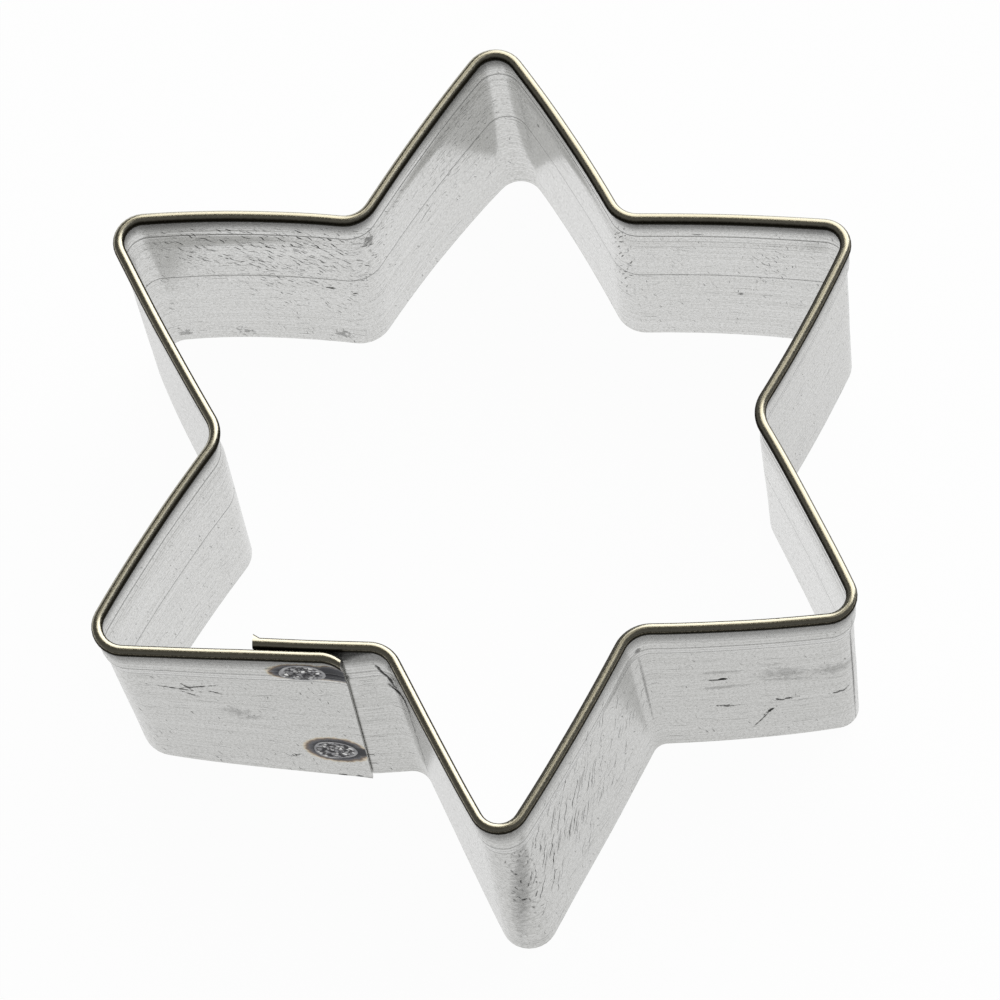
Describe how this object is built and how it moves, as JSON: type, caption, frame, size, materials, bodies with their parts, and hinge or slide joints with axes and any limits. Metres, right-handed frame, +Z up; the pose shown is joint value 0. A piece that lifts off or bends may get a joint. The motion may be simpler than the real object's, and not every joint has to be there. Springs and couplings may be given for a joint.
{
  "type": "cookie cutter",
  "caption": "Star-shaped cookie cutter: a tinplate strip with a rolled rim, closed by a spot-welded lap. Its lower edge cuts dough.",
  "frame": {"origin": "middle of the part's box, on the plane of the cutting edge", "axes": "+Z up from the cutting edge to the rolled rim, +Y towards the far point of the star in the picture, +X to the picture's right"},
  "size_m": [0.06, 0.068, 0.022],
  "materials": {
    "tinplate": "rolled tinplate, bright with fine lines along the strip",
    "weld_metal": "pressed and heat-tinted, rough"
  },
  "bodies": {
    "root": {"star_band": "tinplate", "weld_upper": "weld_metal", "weld_lower": "weld_metal"}
  },
  "joints": []
}
